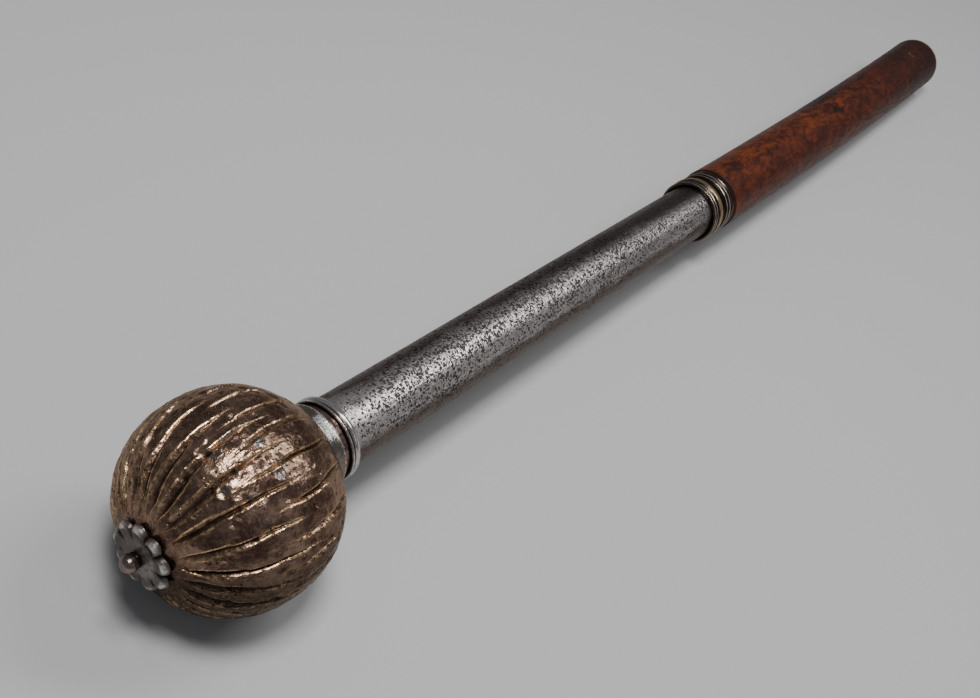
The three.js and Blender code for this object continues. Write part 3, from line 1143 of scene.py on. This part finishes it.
@dataclass
class FlowerWasher:
    """The dished washer whose rounded petals rise and roll over at their tips."""

    sizes: MaceSizes
    columns: int = 360
    face_rows: int = 44
    slit_width: float = 0.45
    slit_depth: float = 0.6
    finish: IronFinish = IronFinish("washer_iron", polish=0.24, metal=0.65)

    def surface(self) -> Surface:
        """The washer, from the middle of its face over the rim to the middle of its back.

        The rim's distance is radius - notch (1 - |cos(n a / 2)|^0.7). The face rises by the
        thickness, plus a crown on each petal, less a cut between petals.

        Returns:
            The grid of points with the masks groove and edge; edge holds painted highlights on the petal tips
            and painted light beside the rivet.
        """
        s = self.sizes
        angle = ring_angles(self.columns)
        turned = s.petal_count * (angle - math.radians(s.petal_turn)) / 2
        petal = np.abs(np.cos(turned)) ** 0.7
        size = 0.945 + 0.055 * np.sin(angle) ** 2
        rim = (s.washer_radius - 0.1 - 0.95 * s.petal_notch * (1 - petal)) * size
        face = np.linspace(0.02, 1.0, self.face_rows) ** 0.85
        share = np.concatenate([face, face[::-1][4::4]])[:, None]
        on_face = (np.arange(len(share)) < len(face))[:, None]
        distance = share * rim
        between = np.abs(np.sin(turned - np.pi / 2)) * distance * 2 / s.petal_count
        slit = bell(between, 0.0, self.slit_width) * ease(share, 0.62, 0.9)
        crown = s.petal_rise * petal**1.5 * swell(share, 0.64, 0.85, 0.9, 1.03)
        body = s.washer_thickness * np.sqrt(unit(1 - ease(share, 0.9, 1.0) * 0.75))
        bumps = 0.13 * layered_noise(around(0, distance, angle) + np.array([9.0, 0, 0]), 3.0, 2, 52)
        rise = s.joint_gap + body + crown - self.slit_depth * slit * (body > 0.5)
        rise = rise + bumps * ease(share, 0.05, 0.3)
        highest = s.joint_gap + s.washer_thickness + s.petal_rise
        rise = np.where(on_face, np.minimum(rise, highest), s.joint_gap)
        points = around(head_front(s, distance, rise), distance, angle)
        points[..., 1] -= s.head_side_shift
        # Painted highlights: pale spots on the petal tips.
        tips = swell(share, 0.8, 0.88, 0.93, 0.98) * petal**6
        # Painted light: a pale ring on the face round the rivet, where it lies in shade, stronger towards -y.
        rubbed_and_painted_light = 0.3 * swell(share, 0.2, 0.3, 0.5, 0.72) * (0.6 + 0.4 * np.sin(angle))
        masks = {"groove": slit * on_face, "edge": unit(1.3 * tips + rubbed_and_painted_light) * on_face}
        return Surface("washer", "flower_washer", points, masks)

    def make(self, mace: MaceFrame, groups: SharedGroups) -> bpy.types.Object:
        """Build and dress the washer."""
        piece = self.surface().build(mace, self.finish.build(groups))
        return piece


@dataclass
class EndRivet:
    """The round-headed rivet with a low foot in the middle of the washer."""

    sizes: MaceSizes
    columns: int = 72
    row_step: float = 0.22
    finish: IronFinish = IronFinish("rivet_iron", iron=colour(0.27, 0.19, 0.165), polish=0.16)

    def surface(self) -> Surface:
        """The rivet: a turned profile with slow dents.

        Returns:
            The grid of points with the masks groove and edge.
        """
        s = self.sizes
        base = float(head_front(s, np.array(0.0), np.array(2 * s.joint_gap + s.washer_thickness)))
        # Shares of the height and of the radius, from the top of the round head to the foot.
        along = np.array([1.02, 1.0, 0.92, 0.76, 0.52, 0.27, 0.17, 0.09, 0.0, 0.0])
        across = np.array([0.02, 0.3, 0.62, 0.87, 0.99, 0.96, 0.82, 0.89, 0.89, 0.02])
        corners = np.stack([base - along * s.rivet_height, across * s.rivet_radius], -1)
        x, radius = profile_by_length(corners, self.row_step, 0.7).T[..., None]
        points = around(x, radius, ring_angles(self.columns))
        dents = 1 + 0.02 * layered_noise(points, 2.5, 2, 61) - 0.02
        points[..., 1:] *= dents[..., None]
        height = (base - x) / s.rivet_height
        masks = {"groove": 1 - ease(height, 0.12, 0.3), "edge": 0.15 * ease(height, 0.4, 0.9)}
        points[..., 1] -= s.head_side_shift
        return Surface("rivet", "end_rivet", points, masks)

    def make(self, mace: MaceFrame, groups: SharedGroups) -> bpy.types.Object:
        """Build and dress the rivet."""
        piece = self.surface().build(mace, self.finish.build(groups))
        return piece


@dataclass
class SteelHaft:
    """The round steel haft: two turned beads at the neck, then a long pitted bar.

    Each kind of pit is the spacing of its scatter, its reach, its chance and a seed. Fine lines
    from turning cross the bar behind the beads.
    """

    sizes: MaceSizes
    columns: int = 168
    row_step: float = 0.62
    bead_step: float = 0.16
    pit_depth: float = 0.26
    pit_kinds: tuple = ((2.1, 0.7, 0.7, 72), (1.6, 0.5, 0.7, 73), (5.5, 1.0, 0.5, 74))
    line_spacing: float = 0.95
    line_depth: float = 0.06
    finish: HaftFinish = HaftFinish()

    def profile(self) -> Array:
        """The turned outline from the middle of the front face to the middle of the rear face."""
        s = self.sizes
        # Shares of the beads' run and rise, from the neck backwards.
        band = ((0.0, 0.5), (0.03, 0.55), (0.36, 0.42), (0.39, 0.12), (0.445, 0.12))
        thin_bead = ((0.465, 0.72), (0.5, 0.96), (0.56, 0.96), (0.59, 0.72), (0.61, 0.14), (0.67, 0.14))
        wide_bead = ((0.69, 0.74), (0.76, 0.98), (0.86, 1.0), (0.96, 0.9), (1.03, 0.6), (1.06, 0.2))
        shares = np.array(band + thin_bead + wide_bead + ((1.09, 0.06),))
        beads = shares * [s.bead_run, s.bead_rise] + [s.haft_start, s.haft_radius]
        rim, seam = [s.haft_start, s.haft_radius - 1.0], [s.haft_start + 15.0, s.haft_radius]
        end = [[s.haft_end - 0.8, s.haft_radius], [s.haft_end, s.haft_radius - 0.7], [s.haft_end, AXIS_GAP]]
        face = profile_by_length(np.array([[s.haft_start, AXIS_GAP], rim]), 1.5, 0.18)
        front = profile_by_length(np.array([rim, *beads, seam]), self.bead_step, 0.18)
        rear = profile_by_length(np.array([seam, *end]), self.row_step, 0.3)
        rear[:, 1] = np.minimum(rear[:, 1], s.haft_radius)
        return np.concatenate([face[:-1], front, rear[1:]])

    def surface(self) -> Surface:
        """The haft with its pits.

        Returns:
            The grid of points with the masks pit, speck, bead, groove and rust, and the mask of the brown
            coat with its painted shade.
        """
        s = self.sizes
        x, radius = self.profile().T[..., None]
        angle = ring_angles(self.columns)
        plain = around(x, radius, angle)
        along = (x - s.haft_start) / s.haft_length
        run = (x - s.haft_start) / s.bead_run
        ferrule_start = s.haft_end - s.ferrule_length
        bar = ease(x - s.haft_start - s.bead_run, 0.9, 4.0) * (1 - ease(x - ferrule_start, -1.0, 0.0))
        crowd = 0.5 + 0.5 * layered_noise(drawn_out(plain, 0.4), 16.0, 3, 71)
        crowd = crowd * (0.9 + 0.1 * ease(along, 0.02, 0.15))
        pit = np.zeros(plain.shape[:2])
        for spacing, reach, chance, seed in self.pit_kinds:
            distance, kind = spots(plain, spacing, chance, seed)
            size = reach * (0.45 + 0.75 * kind) * (0.4 + 0.9 * crowd)
            pit = np.maximum(pit, unit(1.4 * (1 - distance / size)))
        pit = pit * bar * (0.35 + 0.5 * ease(crowd, 0.3, 0.7))
        turned = swell(x - s.haft_start, 7.0, 7.4, 9.5, 14.5)
        lines = self.line_depth * np.sin(x * FULL_TURN / self.line_spacing) * turned
        waves = 0.07 * layered_noise(drawn_out(plain, 0.5), 9.0, 2, 75) - 0.07
        height = lines - self.line_depth + (waves - self.pit_depth * pit) * bar
        height = np.where(radius > s.haft_radius - 0.05, height, 0.0)
        points = around(x, np.minimum(radius + height, radius), angle)
        degrees = signed_degrees(angle)
        # The brown coat, partly patina and partly painted shade, leaves bare a band that drifts round the
        # haft towards the grip: the band where the light falls, so the sides are painted darker. The coat
        # grows towards the grip, as painted shade that dims the haft there.
        worn_and_lit_band = swell(degrees, -52 + 30 * along, 6 + 30 * along, 42 + 8 * along, 80)
        film_and_painted_shade = 0.95 * (1 - worn_and_lit_band) + 0.2 * along
        deep = (radius - s.haft_radius) / s.bead_rise
        groove = swell(run, 0.36, 0.4, 0.45, 0.48) + swell(run, 0.58, 0.61, 0.67, 0.7)
        groove = groove + 1 - ease(run, 0.0, 0.02)
        foot = swell(x, ferrule_start - 3.0, ferrule_start - 0.2, s.haft_end, s.haft_end + 9)
        masks = {
            "pit": pit,
            "speck": bar * unit(1.2 * crowd + 0.22) * (0.6 + 0.4 * worn_and_lit_band),
            "film_and_painted_shade": film_and_painted_shade - 0.7 * ease(deep, 0.6, 0.9),
            "bead": 1 - ease(run, 1.1, 1.4),
            "groove": np.maximum(groove, 0.4 * foot),
            "rust": 1 - ease(run, 0.36, 0.4),
        }
        return Surface("haft", "steel_haft", points, masks)

    def make(self, mace: MaceFrame, groups: SharedGroups) -> bpy.types.Object:
        """Build and dress the haft."""
        piece = self.surface().build(mace, self.finish.build(groups))
        return piece


@dataclass
class GripFerrule:
    """The turned ring at the mouth of the grip: a rim, a fine line and three beads."""

    sizes: MaceSizes
    columns: int = 180
    row_step: float = 0.13
    bore_rows: int = 14
    finish: FerruleFinish = FerruleFinish()

    def surface(self) -> Surface:
        """The ring, as a closed loop of profile rows: the bore first, then the outside.

        Returns:
            The grid of points with the masks groove, crest and brass.
        """
        s = self.sizes
        start, end = s.haft_end - s.ferrule_length, s.haft_end
        wall = s.haft_radius + s.ferrule_wall - s.bore_radius
        # The outside from its rear end to its mouth: shares of the length and of the wall.
        rim = ((1.0, 0.96), (0.87, 0.98), (0.845, 0.7), (0.82, 0.7), (0.8, 0.96), (0.76, 1.04))
        line = ((0.72, 0.96), (0.7, 0.64), (0.665, 0.64), (0.65, 0.94), (0.625, 1.02), (0.6, 0.94))
        hollow = ((0.585, 0.62), (0.45, 0.6))
        wide_bead = ((0.42, 0.86), (0.385, 1.08), (0.34, 1.18), (0.28, 1.18), (0.235, 1.06), (0.205, 0.64))
        thin_bead = ((0.18, 0.64), (0.165, 0.94), (0.14, 1.02), (0.115, 0.94), (0.1, 0.64))
        mouth = ((0.075, 0.64), (0.06, 0.98), (0.03, 1.08), (0.0, 0.9))
        outside = np.array(rim + line + hollow + wide_bead + thin_bead + mouth)
        corners = outside * [s.ferrule_length, wall] + [start, s.bore_radius]
        outer = profile_by_length(corners, self.row_step, 0.14)
        bore = np.stack([np.linspace(start, end, self.bore_rows), np.full(self.bore_rows, s.bore_radius)], -1)
        angle = ring_angles(self.columns)
        x, radius = np.concatenate([bore, outer]).T[..., None]
        plain = around(x, radius, angle)
        on_outside = (np.arange(len(x)) >= self.bore_rows)[:, None]
        knocks = 0.03 * layered_noise(plain, 3.0, 3, 81) - 0.05
        points = around(x, radius + knocks * on_outside, angle)
        deep = (radius - s.bore_radius) / wall
        stain = 0.1 * layered_noise(plain, 2.0, 2, 82)
        front_face = 1 - ease(x, start + 0.02, start + 0.3)
        along = (x - start) / s.ferrule_length
        crests = ((0.038, 0.026), (0.14, 0.02), (0.31, 0.085), (0.625, 0.022), (0.76, 0.026))
        crest = sum(bell(along, place, width) for place, width in crests)
        masks = {
            "groove": (1 - ease(deep + stain, 0.7, 0.92)) * (1 - 0.7 * front_face),
            "crest": unit(crest + 2 * stain * crest) * (1 - front_face) * on_outside,
            "brass": swell(along, 0.2, 0.24, 0.38, 0.42),
        }
        return Surface("ferrule", "grip_ferrule", points, masks, looped=True)

    def make(self, mace: MaceFrame, groups: SharedGroups) -> bpy.types.Object:
        """Build and dress the ferrule."""
        piece = self.surface().build(mace, self.finish.build(groups))
        return piece


@dataclass
class WoodGrip:
    """The burl wood grip: a bent, swelling stick with knots and pits, cut off square."""

    sizes: MaceSizes
    columns: int = 128
    row_step: float = 0.6
    bend_power: float = 2.2
    ring_spacing: float = 2.3
    finish: WoodFinish = WoodFinish()

    def surface(self) -> Surface:
        """The grip on its bent spine.

        With q the share of the length, the spine lies bend q^2.2 to the side and the section
        turns with the spine's slope. The masks age and blot follow the stains that show; warm places painted
        light on the upper +y side of the front half.

        Returns:
            The grid of points with the masks age, warm, blot, pit, pale, rim, end and ring.
        """
        s = self.sizes
        length, end, rim = s.grip_length, s.grip_end_radius, s.grip_rim_ease
        corners = np.array(
            [
                [0.0, AXIS_GAP],
                [0.0, s.grip_front_radius - 0.6],
                [0.7, s.grip_front_radius],
                [length - rim, end - (end - s.grip_front_radius) * rim / length],
                [length - 0.3 * rim, end - 0.22 * rim],
                [length, end - 0.8 * rim],
                [length, AXIS_GAP],
            ]
        )
        run, radius = profile_by_length(corners, self.row_step, 0.7).T[..., None]
        angle = ring_angles(self.columns)
        plain = around(run, radius, angle)
        bark = (radius > s.grip_front_radius - 0.5) * ease(run, 0.3, 2.0)
        bark = bark * (1 - ease(run - length, -1.6, -0.2))
        lumps = 0.13 * layered_noise(drawn_out(plain, 0.6), 12.0, 2, 91)
        lumps = lumps + 0.07 * layered_noise(plain, 3.0, 3, 92)
        distance, kind = spots(drawn_out(plain, 0.7), 7.0, 0.45, 93)
        pit = unit(1.3 * (1 - distance / (0.35 + 0.8 * kind)))
        height = bark * (lumps - 0.3 * pit - 0.15)
        share = unit(run / length)
        slope = self.bend_power * s.grip_bend * share ** (self.bend_power - 1) / length
        turned = np.sqrt(1 + slope**2)
        section = around(0.0, radius + height, angle)
        x = s.grip_start + run - section[..., 1] * slope / turned
        y = s.grip_bend * share**self.bend_power + section[..., 1] / turned
        points = np.stack([x, y, section[..., 2]], -1)
        rim_run = (length - run) + (end - radius) * (run > length - 2) + 0.4
        degrees = signed_degrees(angle)
        noise = layered_noise(drawn_out(plain, 0.5), 22.0, 3, 94)
        age = 0.72 * ease(share, 0.5, 0.96) + 0.3 * noise + 0.9 * (1 - ease(run, 0.0, 1.8))
        age = age + 0.6 * ease(run - length, -2.2, 0.0)
        blot = bell(share, 0.5, 0.09) * bell(degrees, -42, 26)
        blot = blot + bell(share, 0.46, 0.02) * bell(degrees, 10, 14)
        # One flaw near the end: a dark pit in a pale ring.
        reach = np.sqrt(((share - 0.897) / 0.006) ** 2 + ((degrees - 2) / 6.0) ** 2)
        blot = blot + 1.2 * (1 - ease(reach, 0.5, 0.9))
        heart = np.hypot(radius * np.cos(angle) + 2.0, radius * np.sin(angle) - 1.5) * (1 + 0.06 * noise)
        ring = (0.5 + 0.5 * np.sin(FULL_TURN * heart / self.ring_spacing)) ** 2
        masks = {
            "age": unit(age),
            # Painted light on the upper +y side of the front half.
            "warm": swell(degrees, -85, -45, 0, 32) * (1 - ease(share, 0.35, 0.8)),
            "blot": blot,
            "pit": pit * bark,
            "rim": bell(rim_run, 1.9, 0.55),
            "end": 0.9 * ease(run - length, -0.25, -0.02),
            "ring": ring,
            "pale": 0.5 * bell(reach, 1.05, 0.3) * ease(-share, -0.9, -0.894),
        }
        return Surface("grip", "wood_grip", points, masks)

    def make(self, mace: MaceFrame, groups: SharedGroups) -> bpy.types.Object:
        """Build and dress the grip."""
        piece = self.surface().build(mace, self.finish.build(groups), flat_on_floor=True)
        return piece


# The studio


def aimed(way: Vector, roll: float) -> Quaternion:
    """The turn that aims a lamp or camera along a way, rolled about it by degrees."""
    return way.to_track_quat("-Z", "Y") @ Matrix.Rotation(math.radians(roll), 3, "Z").to_quaternion()


@dataclass(frozen=True)
class SoftLight:
    """An area light that points at the middle of the mace.

    Its size is first the side that stays level, then the other one. The roll, in degrees,
    turns it about its own beam.
    """

    name: str
    place: tuple[float, float, float]
    size: tuple[float, float]
    watts: float
    roll: float = 0.0
    tint: tuple[float, float, float] = (1.0, 1.0, 1.0)

    def make(self, target: Vector) -> None:
        """Add the light, turned towards a target."""
        data = bpy.data.lights.new(self.name, "AREA")
        data.shape = "RECTANGLE"
        data.size, data.size_y = self.size
        data.energy = self.watts
        data.color = self.tint
        lamp = add_object(self.name, data)
        lamp.location = self.place
        lamp.rotation_mode = "QUATERNION"
        lamp.rotation_quaternion = aimed(target - lamp.location, self.roll)


@dataclass(frozen=True)
class Studio:
    """The floor, the lights and the camera, which stands where the photograph was taken."""

    floor_half: float = 6.0
    eye: tuple[float, float, float] = (-180.7, -123.5, 323.3)
    aim: tuple[float, float, float] = (154.7, 7.6, 0.0)
    roll: float = 26.25
    lens: float = 43.97
    sky: float = 0.16

    def floor(self) -> None:
        """A plain pale floor."""
        half = self.floor_half
        mesh = bpy.data.meshes.new("studio_floor")
        corners = [(-half, -half, 0), (half, -half, 0), (half, half, 0), (-half, half, 0)]
        mesh.from_pydata(corners, [], [(0, 1, 2, 3)])
        mesh.materials.append(floor_material())
        ground = add_object("studio_floor", mesh)

    def lights(self) -> None:
        """Soft light from above and behind, a weak fill and a dim even sky."""
        middle = Vector((0.0, 0.0, 0.03))
        lamps = [
            SoftLight("overhead", (-0.385, -0.04, 1.0), (0.27, 0.27), 8.9),
            SoftLight("long_box", (0.57, -0.31, 1.08), (0.3, 0.72), 6.6, roll=-36.0),
            SoftLight("side_fill", (0.0, -1.2, 0.7), (1.4, 0.6), 1.0, tint=(0.94, 0.97, 1.0)),
        ]
        for lamp in lamps:
            lamp.make(middle)
        world = bpy.data.worlds.new("studio_sky")
        world.use_nodes = True
        back = world.node_tree.nodes["Background"]
        back.inputs["Color"].default_value = colour(0.9, 0.93, 1.0)
        back.inputs["Strength"].default_value = self.sky
        bpy.context.scene.world = world

    def camera(self, mace: MaceFrame) -> None:
        """The camera, from its eye and aim in millimetres from the head's middle on the floor.

        Args:
            mace: the frame whose origin the two points are measured from.
        """
        foot = mace.origin * np.array([1.0, 1.0, 0.0])
        eye = Vector((foot + np.array(self.eye)) * MM)
        aim = Vector((foot + np.array(self.aim)) * MM)
        data = bpy.data.cameras.new("camera")
        data.sensor_width = 36.0
        data.lens = self.lens
        data.clip_start, data.clip_end = 0.01, 50.0
        camera = add_object("camera", data)
        camera.rotation_mode = "QUATERNION"
        camera.location, camera.rotation_quaternion = eye, aimed(aim - eye, self.roll)
        bpy.context.scene.camera = camera


def main() -> None:
    """Build the camera, the pieces and the studio, in order."""
    logging.basicConfig(level=logging.INFO, format="%(name)s: %(message)s")
    sizes = MaceSizes()
    mace = MaceFrame(sizes)
    studio = Studio()
    studio.camera(mace)
    groups = SharedGroups(make_mottle(), make_specks(), make_pitting())
    makers = [RibbedHead, FlowerWasher, EndRivet, SteelHaft, GripFerrule, WoodGrip]
    for maker in makers:
        piece = maker(sizes).make(mace, groups)
        log.info("%s: %d faces", piece.name, len(piece.data.polygons))
    studio.floor()
    studio.lights()


if __name__ == "__main__":
    main()
